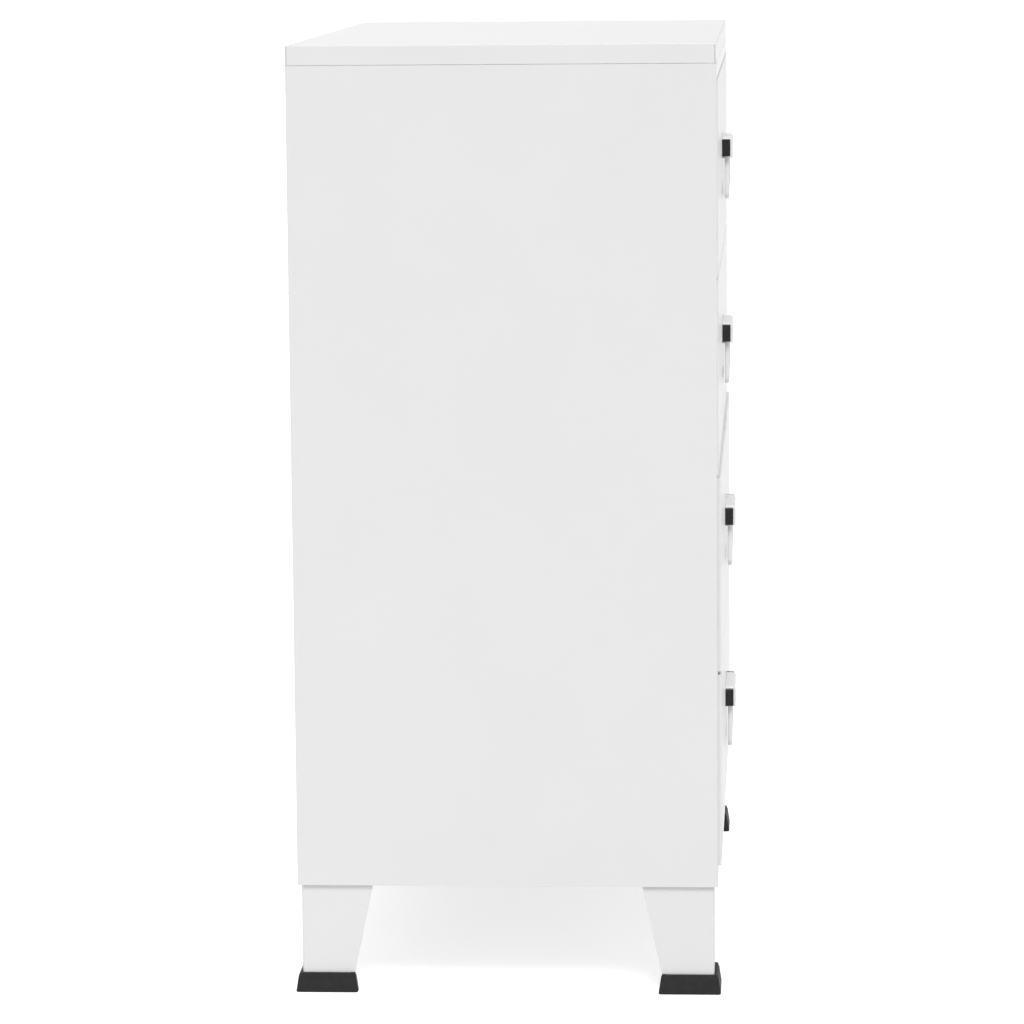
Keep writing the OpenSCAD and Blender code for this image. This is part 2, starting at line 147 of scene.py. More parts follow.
class NodeSheet:
    """A node tree, with short ways to add and join nodes."""

    def __init__(self, tree: bpy.types.NodeTree) -> None:
        """Empties the tree."""
        self.tree = tree
        self.tree.nodes.clear()

    def put(self, node: bpy.types.Node, name: str | int, value: object) -> None:
        """Sets one input of a node.

        Args:
            node: The node.
            name: The input's name or number.
            value: The input's value, or a socket to join to it.
        """
        if isinstance(value, Socket):
            self.tree.links.new(value, node.inputs[name])
        else:
            node.inputs[name].default_value = value

    def add(self, kind: str, **inputs: object) -> bpy.types.Node:
        """Adds a node and sets its inputs.

        Args:
            kind: The node's type without its ShaderNode prefix.
            **inputs: Values by input name, with _ for a space, or sockets to join to it.

        Returns:
            The node.
        """
        node = self.tree.nodes.new("ShaderNode" + kind)
        for name, value in inputs.items():
            self.put(node, name.replace("_", " "), value)
        return node

    def calculate(self, operation: str, first: object, second: object) -> Socket:
        """Adds a calculation with two values.

        Args:
            operation: The Math node's operation.
            first: The first value or socket.
            second: The second value or socket.

        Returns:
            The result's socket.
        """
        node = self.add("Math")
        node.operation = operation
        self.put(node, 0, first)
        self.put(node, 1, second)
        return node.outputs[0]

    def shown_rays(self) -> Socket:
        """Tells the rays that show a background from those that light the cabinet.

        Returns:
            A socket that is 1 for camera, glossy and transmission rays and 0 for the rest.
        """
        path = self.add("LightPath").outputs
        shown = path["Is Camera Ray"]
        for name in ("Is Glossy Ray", "Is Transmission Ray"):
            shown = self.calculate("MAXIMUM", shown, path[name])
        return shown


class ShaderSheet(NodeSheet):
    """A new material's node tree, with the patterns that the finishes are made of."""

    def __init__(self, name: str) -> None:
        """Starts a material.

        Args:
            name: The material's name.
        """
        self.material = bpy.data.materials.new(name)
        self.material.use_nodes = True
        super().__init__(self.material.node_tree)

    def noise(self, size: float, detail: float = 2.0, stretch: Point = (1, 1, 1)) -> Socket:
        """A noise over the piece's own coordinates.

        Args:
            size: The size of its features, in metres.
            detail: How many finer octaves it has.
            stretch: How much faster it changes along each axis.

        Returns:
            The noise's value socket.
        """
        place = self.add("TexCoord").outputs["Object"]
        scaled = self.add("Mapping", Vector=place, Scale=stretch)
        node = self.add("TexNoise", Vector=scaled.outputs["Vector"], Scale=1.0 / size, Detail=detail)
        return node.outputs["Fac"]

    def span(self, value: Socket, low: float = 0.0, high: float = 1.0, start: float = 0.3,
             end: float = 0.7) -> Socket:
        """Maps the range from start to end, which is a noise's usual one, onto low to high."""
        node = self.add("MapRange", Value=value, From_Min=start, From_Max=end, To_Min=low, To_Max=high)
        return node.outputs["Result"]

    def uneven(self, size: float, middle: float, spread: Flat, detail: float) -> Socket:
        """A value that falls and rises by its spread about a middle, in clouds of a size."""
        return self.span(self.noise(size, detail), middle - spread[0], middle + spread[1])

    def blend(self, share: Socket, first: Colour, second: Colour) -> Socket:
        """A colour between two.

        Args:
            share: How much of the second colour shows.
            first: The first colour.
            second: The second colour.

        Returns:
            The colour socket.
        """
        node = self.add("Mix")
        node.data_type = "RGBA"
        share_input, first_input, second_input, colour_output = 0, 6, 7, 2
        self.put(node, share_input, share)
        self.put(node, first_input, (*first, 1.0))
        self.put(node, second_input, (*second, 1.0))
        return node.outputs[colour_output]

    def bump(self, height: Socket, depth: float, below: Optional[Socket] = None) -> Socket:
        """Turns a height into a normal.

        Args:
            height: The height, from 0 to 1.
            depth: The depth that 1 stands for, in metres.
            below: The normal that this one is laid over.

        Returns:
            The normal socket.
        """
        node = self.add("Bump", Height=height, Distance=depth, Strength=1.0)
        if below is not None:
            self.put(node, "Normal", below)
        return node.outputs["Normal"]

    def finish(self, shader: bpy.types.Node) -> Material:
        """Joins the shader to the material's output and returns the material."""
        self.add("OutputMaterial", Surface=shader.outputs[0])
        return self.material


@dataclass(frozen=True)
class Finish:
    """A finish in a colour of the record, whose gloss varies in clouds."""

    name: str
    colour: Colour
    roughness: float = 0.4
    gloss_size: float = 3 * MM
    gloss_spread: Flat = (0.05, 0.08)
    gloss_detail: float = 3.0

    def material(self) -> Material:
        """Builds the finish's material."""
        raise NotImplementedError

    def coat(self, sheet: ShaderSheet, **inputs: object) -> Material:
        """Ends a sheet with a shader of this gloss and these inputs."""
        gloss = sheet.uneven(self.gloss_size, self.roughness, self.gloss_spread, self.gloss_detail)
        return sheet.finish(sheet.add("BsdfPrincipled", Roughness=gloss, **inputs))


@dataclass(frozen=True)
class PowderCoat(Finish):
    """Baked powder paint: an even white with fine orange peel under a smooth skin."""

    roughness: float = 0.36
    gloss_size: float = 14 * MM
    gloss_spread: Flat = (0.02, 0.03)
    shade: float = 0.985
    cloud_size: float = 90 * MM
    skin: float = 0.25
    skin_roughness: float = 0.22
    peel_size: float = 2.2 * MM
    peel_depth: float = 0.012 * MM
    grain_size: float = 0.35 * MM
    grain_depth: float = 0.0012 * MM
    wave_size: float = 160 * MM
    wave_depth: float = 0.12 * MM

    def material(self) -> Material:
        """Builds the paint: cloudy tone, orange peel, grain and the sheet's slight waves.

        Returns:
            The material.
        """
        sheet = ShaderSheet(self.name)
        cloud = sheet.span(sheet.noise(self.cloud_size, detail=4.0))
        wave = sheet.bump(sheet.noise(self.wave_size, detail=0.0), self.wave_depth)
        peel = sheet.bump(sheet.noise(self.peel_size, detail=1.0), self.peel_depth, wave)
        grain = sheet.bump(sheet.noise(self.grain_size, detail=1.0), self.grain_depth, peel)
        tone = sheet.blend(cloud, toned(self.colour, self.shade), self.colour)
        return self.coat(sheet, Base_Color=tone, Normal=grain, Coat_Weight=self.skin,
                         Coat_Roughness=self.skin_roughness)


@dataclass(frozen=True)
class MouldedPlastic(Finish):
    """Black plastic straight from the mould, finely grained and a little glossy."""

    roughness: float = 0.3
    depth: float = 0.4
    worn: float = 1.9
    cloud_size: float = 6 * MM
    cloud_range: Flat = (0.35, 0.75)
    gloss_level: float = 0.3
    grain_size: float = 0.5 * MM
    grain_depth: float = 0.01 * MM

    def material(self) -> Material:
        """Builds the plastic: a fine grain, uneven gloss and a slightly greyed skin.

        Returns:
            The material.
        """
        sheet = ShaderSheet(self.name)
        deep = toned(self.colour, self.depth)
        cloud = sheet.span(sheet.noise(self.cloud_size, detail=4.0), 0.0, 1.0, *self.cloud_range)
        return self.coat(sheet, Base_Color=sheet.blend(cloud, deep, toned(deep, self.worn)),
                         Normal=sheet.bump(sheet.noise(self.grain_size), self.grain_depth),
                         Specular_IOR_Level=self.gloss_level)


@dataclass(frozen=True)
class CapRubber(Finish):
    """Matt black rubber with a soft bloom and flow marks that run round it."""

    roughness: float = 0.62
    gloss_size: float = 4 * MM
    gloss_spread: Flat = (0.08, 0.08)
    depth: float = 0.45
    bloom: float = 1.35
    cloud_size: float = 9 * MM
    sheen_level: float = 0.25
    flow_size: float = 5 * MM
    flow_depth: float = 0.03 * MM
    flow_stretch: Point = (0.25, 0.25, 4.0)
    grain_size: float = 0.4 * MM
    grain_depth: float = 0.012 * MM

    def material(self) -> Material:
        """Builds the rubber: bloom in clouds, level flow marks and a matt grain.

        Returns:
            The material.
        """
        sheet = ShaderSheet(self.name)
        deep = toned(self.colour, self.depth)
        cloud = sheet.span(sheet.noise(self.cloud_size, detail=5.0))
        flow = sheet.bump(sheet.noise(self.flow_size, stretch=self.flow_stretch), self.flow_depth)
        return self.coat(sheet, Base_Color=sheet.blend(cloud, deep, toned(deep, self.bloom)),
                         Normal=sheet.bump(sheet.noise(self.grain_size), self.grain_depth, flow),
                         Specular_IOR_Level=self.sheen_level)


@dataclass(frozen=True)
class RollerNylon(Finish):
    """Natural nylon: a waxy cream that lets a little light in."""

    gloss_size: float = 2 * MM
    gloss_detail: float = 2.0
    yellowing: Colour = (0.96, 0.93, 0.84)
    cloud_size: float = 5 * MM
    scatter: float = 0.25
    scatter_depth: float = 0.8 * MM
    mark_size: float = 0.7 * MM
    mark_depth: float = 0.01 * MM
    mark_stretch: Point = (3.0, 0.4, 0.4)

    def material(self) -> Material:
        """Builds the nylon: scattering, turning marks and slightly yellowed patches.

        Returns:
            The material.
        """
        sheet = ShaderSheet(self.name)
        yellowed = tuple(c * share for c, share in zip(self.colour, self.yellowing))
        cloud = sheet.span(sheet.noise(self.cloud_size, detail=3.0))
        marks = sheet.bump(sheet.noise(self.mark_size, stretch=self.mark_stretch), self.mark_depth)
        return self.coat(sheet, Base_Color=sheet.blend(cloud, self.colour, yellowed), Normal=marks,
                         Subsurface_Weight=self.scatter, Subsurface_Scale=self.scatter_depth)


@dataclass(frozen=True)
class ZincPlate(Finish):
    """Zinc-plated steel: pale spangle over fine rolling lines."""

    roughness: float = 0.34
    gloss_size: float = 1.5 * MM
    gloss_spread: Flat = (0.06, 0.1)
    dullness: float = 0.82
    spangle_size: float = 2.5 * MM
    spangle_range: Flat = (0.1, 0.8)
    line_size: float = 0.5 * MM
    line_depth: float = 0.004 * MM
    line_stretch: Point = (1.0, 0.05, 1.0)

    def material(self) -> Material:
        """Builds the plating: spangled tone and gloss, and lines along the strip.

        Returns:
            The material.
        """
        sheet = ShaderSheet(self.name)
        place = sheet.add("TexCoord").outputs["Object"]
        cells = sheet.add("TexVoronoi", Vector=place, Scale=1.0 / self.spangle_size)
        spangle = sheet.span(cells.outputs["Distance"], 0.0, 1.0, *self.spangle_range)
        tone = sheet.blend(spangle, self.colour, toned(self.colour, self.dullness))
        lines = sheet.bump(sheet.noise(self.line_size, stretch=self.line_stretch), self.line_depth)
        return self.coat(sheet, Base_Color=tone, Normal=lines, Metallic=1.0)


class FinishRack:
    """All finishes of the cabinet, each built once and found by its slot."""

    def __init__(self, record: dict) -> None:
        """Builds the finishes from the record's colours.

        Args:
            record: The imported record, with its materials and subparts.
        """
        colours = {Slot(m["slot"]): tuple(m["base_color"][:3]) for m in record["materials"]}
        coats = {
            Slot.BODY: PowderCoat("satin_white_powder_coat", colours[Slot.BODY]),
            Slot.FRONT: PowderCoat("semi_gloss_white_powder_coat", colours[Slot.FRONT],
                                   roughness=0.45, skin=0.2, skin_roughness=0.08),
            Slot.TRAY: PowderCoat("white_tray_powder_coat", colours[Slot.TRAY], roughness=0.42),
            Slot.HANDLE: PowderCoat("smooth_white_handle_enamel", colours[Slot.HANDLE],
                                    roughness=0.28, skin=0.5, peel_depth=0.006 * MM),
            Slot.BLOCK: MouldedPlastic("black_moulded_end_blocks", colours[Slot.BLOCK]),
            Slot.RUBBER: CapRubber("black_cap_rubber", colours[Slot.RUBBER]),
            Slot.ROLLER: RollerNylon("natural_roller_nylon", colours[Slot.ROLLER]),
            Slot.ZINC: ZincPlate("zinc_plated_steel", colours[Slot.ZINC]),
        }
        self.materials = {slot: coat.material() for slot, coat in coats.items()}
        self.slots = {p["node"]: Slot(p["material_slot"]) for p in record["subparts"]}

    def dress(self, piece: Piece, slot: Slot) -> Piece:
        """Gives a piece the finish of a slot.

        Args:
            piece: The piece.
            slot: The slot of its finish.

        Returns:
            The piece.
        """
        piece.data.materials.clear()
        piece.data.materials.append(self.materials[slot])
        return piece

    def dress_node(self, name: str) -> Piece:
        """Gives a CAD node the finish of its slot and returns it."""
        return self.dress(frame["nodes"][name], self.slots[name])


class Bench:
    """Builds the meshes of the detailed pieces and puts them in the frame."""

    @staticmethod
    def rounded_outline(low: Flat, high: Flat, radius: float) -> list[Flat]:
        """The outline of a rectangle with round corners.

        Args:
            low: Its lowest corner.
            high: Its highest corner.
            radius: The radius of its corners.

        Returns:
            The points, anticlockwise.
        """
        middles = [(high[0] - radius, high[1] - radius), (low[0] + radius, high[1] - radius),
                   (low[0] + radius, low[1] + radius), (high[0] - radius, low[1] + radius)]
        corners = [arc(middle, radius, 90.0 * quarter, 90.0, FOLD_STEPS)
                   for quarter, middle in enumerate(middles)]
        return [point for corner in corners for point in corner]

    @staticmethod
    def bent_path(points: Sequence[Flat], radius: float) -> list[Flat]:
        """A path of straight runs whose corners are bent round.

        Args:
            points: The path's ends and its sharp corners, all of them square.
            radius: The outer radius of its bends.

        Returns:
            The points along the path.
        """
        path = [points[0]]
        for before, corner, after in zip(points, points[1:], points[2:]):
            back = Vector(before) - Vector(corner)
            ahead = Vector(after) - Vector(corner)
            back.normalize()
            ahead.normalize()
            for step in range(FOLD_STEPS + 1):
                turn = step / FOLD_STEPS * math.pi / 2
                bend = back * (1.0 - math.sin(turn)) + ahead * (1.0 - math.cos(turn))
                path.append(tuple(Vector(corner) + bend * radius))
        path.append(points[-1])
        return path

    @staticmethod
    def join_rows(mesh: Mesh, lower: Row, upper: Row, closed: bool = False) -> None:
        """Adds the faces between two rows of equally many points.

        Args:
            mesh: The mesh to add to.
            lower: The first row.
            upper: The second row.
            closed: Whether the rows run round, back to their first points.
        """
        count = len(lower)
        for i in range(count if closed else count - 1):
            j = (i + 1) % count
            mesh.faces.new((lower[i], lower[j], upper[j], upper[i]))

    @staticmethod
    def loft(mesh: Mesh, rings: Rings) -> None:
        """Adds a closed solid through rings of equally many points.

        Args:
            mesh: The mesh to add to.
            rings: The rings from one end to the other, anticlockwise seen from the last one.
        """
        rows = [[mesh.verts.new(p) for p in ring] for ring in rings]
        for lower, upper in zip(rows, rows[1:]):
            Bench.join_rows(mesh, lower, upper, closed=True)
        mesh.faces.new(list(reversed(rows[0])))
        mesh.faces.new(rows[-1])

    @staticmethod
    def ring_edges(mesh: Mesh, ring: Row) -> list[Edge]:
        """The edges from each point of a ring to the next."""
        return [mesh.edges.get(pair) for pair in zip(ring, ring[1:] + ring[:1])]

    @staticmethod
    def fold(mesh: Mesh, edges: Sequence[Edge], radius: float, steps: int = FOLD_STEPS) -> None:
        """Bends the sharp folds of a skin round, in a number of steps."""
        bmesh.ops.bevel(mesh, geom=edges, offset=radius, segments=steps, profile=ROUND_PROFILE,
                        affect="EDGES", clamp_overlap=False)

    @staticmethod
    def place(name: str, mesh: Mesh, body: str, *nodes: str, skin: bool = False) -> Piece:
        """Makes an object of a mesh that rides on a body and stands for CAD nodes.

        Args:
            name: The piece's name.
            mesh: Its mesh, in the frame.
            body: The body it moves with.
            *nodes: The CAD nodes that it replaces.
            skin: Whether the mesh is an open skin whose faces already look outwards.

        Returns:
            The object.
        """
        if not skin:
            bmesh.ops.recalc_face_normals(mesh, faces=mesh.faces)
        data = bpy.data.meshes.new(name)
        mesh.to_mesh(data)
        mesh.free()
        data.shade_smooth()
        piece = in_scene(name, data)
        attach(piece, body)
        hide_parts(*nodes)
        return piece

    @staticmethod
    def cut(piece: Piece, rings: Rings) -> None:
        """Cuts a solid out of a piece.

        Args:
            piece: The piece to cut.
            rings: The rings of the solid that is taken away.
        """
        mesh = bmesh.new()
        Bench.loft(mesh, rings)
        bmesh.ops.recalc_face_normals(mesh, faces=mesh.faces)
        data = bpy.data.meshes.new("cutter")
        mesh.to_mesh(data)
        mesh.free()
        cutter = in_scene("cutter", data)
        taken = piece.modifiers.new("cut", "BOOLEAN")
        taken.object = cutter
        taken.solver = "EXACT"
        depsgraph = bpy.context.evaluated_depsgraph_get()
        rest = bpy.data.meshes.new_from_object(piece.evaluated_get(depsgraph))
        piece.modifiers.clear()
        piece.data = rest
        bpy.data.objects.remove(cutter)

    @staticmethod
    def thicken(piece: Piece, sheet: float, edge: float) -> None:
        """Gives an outer skin its sheet thickness inwards and breaks the cut edges.

        Args:
            piece: The skin.
            sheet: The thickness.
            edge: The radius of the cut edges.
        """
        wall = piece.modifiers.new("sheet_thickness", "SOLIDIFY")
        wall.thickness = sheet
        wall.offset = -1.0
        wall.use_even_offset = True
        Bench.round_edges(piece, edge)

    @staticmethod
    def round_edges(piece: Piece, radius: float, sharp_deg: float = CUT_EDGE_DEG,
                    steps: int = CUT_EDGE_STEPS) -> None:
        """Rounds a piece's sharp edges and evens out its shading.

        Args:
            piece: The piece.
            radius: The radius of the edges.
            sharp_deg: The angle from which an edge is sharp.
            steps: The number of stretches round each edge.
        """
        edge = piece.modifiers.new("round_edges", "BEVEL")
        edge.limit_method = "ANGLE"
        edge.angle_limit = math.radians(sharp_deg)
        edge.width = radius
        edge.segments = steps
        edge.use_clamp_overlap = False
        Bench.even_shading(piece)

    @staticmethod
    def even_shading(piece: Piece, weight: int = 100) -> None:
        """Lets a piece's larger faces lead its shading."""
        shade = piece.modifiers.new("even_shading", "WEIGHTED_NORMAL")
        shade.weight = weight


@dataclass(frozen=True)
class EdgeDressing:
    """Breaks a CAD node's sharp edges, without a change to its mesh."""

    radius: float = 0.2 * MM
    flat_deg: float = 0.6
    sharp_deg: float = 40.0
    steps: int = 2

    def apply(self, node: Piece) -> Piece:
        """Adds the modifiers to a CAD node's object.

        Args:
            node: The object.

        Returns:
            The object.
        """
        normals = node.data.attributes.get("custom_normal")
        if normals is not None:
            node.data.attributes.remove(normals)
        node.data.shade_smooth()
        weld = node.modifiers.new("join_faces", "WELD")
        weld.merge_threshold = WELD_REACH
        flat = node.modifiers.new("one_face_per_plane", "DECIMATE")
        flat.decimate_type = "DISSOLVE"
        flat.angle_limit = math.radians(self.flat_deg)
        Bench.round_edges(node, self.radius, self.sharp_deg, self.steps)
        return node


@dataclass
class BodyShell:
    """The cabinet's fixed sheet metal: sides, lid, back, base and rails."""

    rack: FinishRack
    sheet: float = 0.8 * MM
    bend: float = 1.3 * MM
    cut_edge: float = 0.15 * MM
    front_return: float = 46.0 * MM
    rear_flange: float = 18.0 * MM
    lid_seam: float = 0.4 * MM
    lid_flange: float = 16.0 * MM
    joint_start: float = 1.2 * MM
    joint_width: float = 0.25 * MM
    edges: EdgeDressing = field(default_factory=EdgeDressing)
    panels: tuple[str, ...] = ("back_panel", "base_pan", "top_rail", "bottom_rail", "cross_rails",
                               "rear_uprights", "drawer_bumpers")

    def build(self) -> list[Piece]:
        """Folds the sides and the lid, dresses the other panels and returns the pieces."""
        folded = [self.fold_side(side) for side in Side] + [self.fold_lid()]
        return folded + [self.edges.apply(self.rack.dress_node(name)) for name in self.panels]

    def fold_side(self, side: Side) -> Piece:
        """Folds a side panel: front return, front edge, skin and rear flange, and a top flange.

        Args:
            side: The side of the cabinet.

        Returns:
            The panel.
        """
        name = f"side_{side.value}"
        low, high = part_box(name)
        outer, inner = (low.x, high.x) if side is Side.LEFT else (high.x, low.x)
        path = Bench.bent_path([
            (inner, low.y + self.front_return), (inner, low.y), (outer, low.y), (outer, high.y),
            (outer + side.inwards * self.rear_flange, high.y)], self.bend)
        mesh = bmesh.new()
        under, over = [[mesh.verts.new((x, y, z)) for x, y in path] for z in (low.z, high.z)]
        Bench.join_rows(mesh, under, over)
        longest = max(range(len(path) - 1), key=lambda i: abs(path[i + 1][1] - path[i][1]))
        fold = over[longest:longest + 2]
        reach = Vector((side.inwards * self.rear_flange, 0.0, 0.0))
        Bench.join_rows(mesh, fold, [mesh.verts.new(p.co + reach) for p in fold])
        if side is Side.LEFT:
            bmesh.ops.reverse_faces(mesh, faces=mesh.faces)
        panel = Bench.place(f"folded_{name}", mesh, "cabinet", name, skin=True)
        Bench.thicken(panel, self.sheet, self.cut_edge)
        return self.rack.dress(panel, Slot.BODY)

    def fold_lid(self) -> Piece:
        """Folds the lid: a top with round folds, four skirts with open corner joints, flanges.

        Returns:
            The lid.
        """
        low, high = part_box("top_lid")
        mesh = bmesh.new()
        rim, top = [[mesh.verts.new((x, y, z)) for x, y in rectangle((low.x, low.y), (high.x, high.y))]
                    for z in (low.z + self.lid_seam, high.z)]
        mesh.faces.new(top)
        Bench.join_rows(mesh, rim, top, closed=True)
        Bench.fold(mesh, Bench.ring_edges(mesh, top), self.bend)
        self.open_corners(mesh, low, high)
        self.add_lid_flanges(mesh, low, high)
        lid = Bench.place("folded_lid", mesh, "cabinet", "top_lid", skin=True)
        Bench.thicken(lid, self.sheet, self.cut_edge)
        return self.rack.dress(lid, Slot.BODY)

    def open_corners(self, mesh: Mesh, low: Vector, high: Vector) -> None:
        """Cuts the thin open joints near the front and rear ends of the lid's side skirts.

        Args:
            mesh: The lid's outer skin.
            low: The lid's lowest corner.
            high: Its highest corner.
        """
        start, end = self.joint_start, self.joint_start + self.joint_width
        joints = [(low.y + start, low.y + end), (high.y - end, high.y - start)]
        half = high.x - PLANE_REACH
        for at in (y for joint in joints for y in joint):
            skirts = [f for f in mesh.faces if all(abs(p.co.x) > half for p in f.verts)]
            parts = skirts + list({e for f in skirts for e in f.edges})
            parts += list({p for f in skirts for p in f.verts})
            bmesh.ops.bisect_plane(mesh, geom=parts, plane_co=(0, at, 0), plane_no=(0, 1, 0))
        gaps = [f for f in mesh.faces if abs(f.calc_center_median().x) > half
                and any(a < f.calc_center_median().y < b for a, b in joints)]
        bmesh.ops.delete(mesh, geom=gaps, context="FACES")

    def add_lid_flanges(self, mesh: Mesh, low: Vector, high: Vector) -> None:
        """Adds the flanges inside the skirts, which rest on the body.

        Args:
            mesh: The lid's outer skin.
            low: The lid's lowest corner.
            high: Its highest corner.
        """
        rings = []
        for inset in (self.sheet, self.sheet + self.lid_flange):
            plan = rectangle((inset - high.x, low.y + inset), (high.x - inset, high.y - inset))
            rings.append([mesh.verts.new((x, y, low.z)) for x, y in plan])
        outer, inner = rings
        Bench.join_rows(mesh, inner, outer, closed=True)


@dataclass
class CapMould:
    """The rubber caps of the legs, each an angle with flared walls and a ledge under its rim."""

    rack: FinishRack
    height: float = 18.5 * MM
    over_leg: float = 3.6 * MM
    flare: float = 2.8 * MM
    reach: float = 50.3 * MM
    corner_radius: float = 2.4 * MM
    wall_end: float = 4.8 * MM
    slot_floor: float = 4.0 * MM
    slot_end: float = 46.3 * MM
    slot_gap: float = 0.15 * MM
    cut_over: float = 1.0 * MM
    edge: float = 0.25 * MM
    wall: tuple[Flat, ...] = tuple((z * MM, inset * MM) for z, inset in (
        (0.0, 0.7), (0.25, 0.3), (0.7, 0.0), (15.3, 0.0), (15.55, 0.12), (15.75, 0.5), (17.7, 0.5),
        (18.2, 0.7), (18.5, 1.2)))

    def mould(self, end: End, side: Side, corner: Vector, leg_sheet: float) -> Piece:
        """Moulds one cap, with its slot for the leg.

        Args:
            end: The leg's end of the cabinet.
            side: The leg's side of the cabinet.
            corner: The leg's outer corner on the floor.
            leg_sheet: The thickness of the leg.

        Returns:
            The cap.
        """
        def at(x: float, y: float, z: float) -> Point:
            """A point in the frame, from one given inwards from the leg's corner."""
            return (corner.x + side.inwards * x, corner.y + end.inwards * y, z)

        rings = []
        for height, inset in self.wall:
            spread = self.flare * (1.0 - height / self.height) - inset
            low, high = -self.over_leg - spread, self.reach + spread
            outline = Bench.rounded_outline((low, low), (high, high), self.corner_radius)
            rings.append([at(x, y, height) for x, y in outline])
        mesh = bmesh.new()
        Bench.loft(mesh, rings)
        name = f"foot_cap_{end.value}_{side.value}"
        cap = Bench.place(f"moulded_{name}", mesh, "cabinet", name)
        near, far, tip = -self.slot_gap, leg_sheet + self.slot_gap, self.slot_end
        slot = [(near, near), (tip, near), (tip, far), (far, far), (far, tip), (near, tip)]
        clear = 2.0 * self.reach
        inside = rectangle((self.wall_end, self.wall_end), (clear, clear))
        above = self.height + self.cut_over
        for outline, floor in ((slot, self.slot_floor), (inside, -above)):
            Bench.cut(cap, [[at(x, y, z) for x, y in outline] for z in (floor, above)])
        Bench.round_edges(cap, self.edge)
        return self.rack.dress(cap, Slot.RUBBER)


@dataclass
class LegSet:
    """Four tapered legs with their caps and bolts."""

    rack: FinishRack
    caps: CapMould
    sheet: float = 1.5 * MM
    bend: float = 2.2 * MM
    cut_edge: float = 0.3 * MM
    foot_width: float = 50.0 * MM
    tongue_width: float = 46.0 * MM
    reveal: float = 0.8 * MM
    flange_set: float = 8.0 * MM
    bolt_edges: EdgeDressing = field(default_factory=lambda: EdgeDressing(0.3 * MM))

    def build(self) -> list[Piece]:
        """Builds the legs and caps, dresses the bolts and returns the pieces."""
        pieces = [piece for end in End for side in Side for piece in self.build_leg(end, side)]
        return pieces + [self.bolt_edges.apply(self.rack.dress_node("leg_bolts"))]

    def build_leg(self, end: End, side: Side) -> list[Piece]:
        """Folds one leg, tapered towards its foot, and moulds its cap.

        Args:
            end: The leg's end of the cabinet.
            side: The leg's side of the cabinet.

        Returns:
            The leg and its cap.
        """
        name = f"leg_{end.value}_{side.value}"
        low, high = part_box(name)
        x = low.x if side is Side.LEFT else high.x
        y = low.y if end is End.FRONT else high.y
        top, width, tongue = high.z - self.reveal, high.x - low.x, self.tongue_width
        mesh = bmesh.new()

        def row(plan: Sequence[Flat], z: float) -> Row:
            """New points at a height, inwards from the leg's own corner."""
            return [mesh.verts.new((x + side.inwards * a, y + end.inwards * b, z)) for a, b in plan]

        path = Bench.bent_path([(tongue, 0.0), (0.0, 0.0), (0.0, tongue)], self.bend)
        tip, neck, crown = (row(path, z) for z in (low.z, self.caps.height, top))
        Bench.join_rows(mesh, tip, neck)
        Bench.join_rows(mesh, neck, crown)
        foot = row([(self.foot_width, 0.0), (0.0, self.foot_width)], self.caps.height)
        head = row([(width, 0.0), (0.0, width)], top)
        mesh.faces.new((foot[0], neck[0], crown[0], head[0]))
        mesh.faces.new((neck[-1], foot[1], head[1], crown[-1]))
        near, far = self.sheet, width - self.flange_set
        mesh.faces.new(row([(near, near), (near, far), (far, far), (far, near)], high.z))
        if side.inwards * end.inwards > 0:
            bmesh.ops.reverse_faces(mesh, faces=mesh.faces)
        leg = Bench.place(f"folded_{name}", mesh, "cabinet", name, skin=True)
        Bench.thicken(leg, self.sheet, self.cut_edge)
        self.rack.dress(leg, Slot.BODY)
        return [leg, self.caps.mould(end, side, Vector((x, y, 0.0)), self.sheet)]


@dataclass
class DrawerUnit:
    """One drawer with its runners and rollers."""

    rack: FinishRack
    row: int
    sheet: float = 0.8 * MM
    bend: float = 1.3 * MM
    cut_edge: float = 0.15 * MM
    rear_lip: float = 12.0 * MM
    edges: EdgeDressing = field(default_factory=EdgeDressing)
    carriers: tuple[str, ...] = ("drawer_tray", "drawer_rails", "runner_channels", "front_rollers",
                                 "rear_rollers")

    def build(self) -> list[Piece]:
        """Folds the front, dresses the tray and what carries it, and returns the pieces."""
        names = [f"{part}_{self.row}" for part in self.carriers]
        return [self.fold_front()] + [self.edges.apply(self.rack.dress_node(n)) for n in names]

    def fold_front(self) -> Piece:
        """Folds the front: a face, four walls and four lips at the back, all with round folds.

        Returns:
            The front.
        """
        name = f"drawer_front_{self.row}"
        low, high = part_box(name)
        mesh = bmesh.new()
        rings = []
        for y, inset in ((low.y, 0.0), (high.y, 0.0), (high.y, self.rear_lip)):
            plan = rectangle((low.x + inset, low.z + inset), (high.x - inset, high.z - inset))
            rings.append([mesh.verts.new((x, y, z)) for x, z in plan])
        face, back, lip = rings
        mesh.faces.new(face)
        Bench.join_rows(mesh, back, face, closed=True)
        Bench.join_rows(mesh, lip, back, closed=True)
        folds = Bench.ring_edges(mesh, face) + Bench.ring_edges(mesh, back)
        folds += [mesh.edges.get(pair) for pair in zip(face, back)]
        Bench.fold(mesh, folds, self.bend)
        front = Bench.place(f"folded_{name}", mesh, f"drawer_{self.row}", name, skin=True)
        Bench.thicken(front, self.sheet, self.cut_edge)
        return self.rack.dress(front, Slot.FRONT)


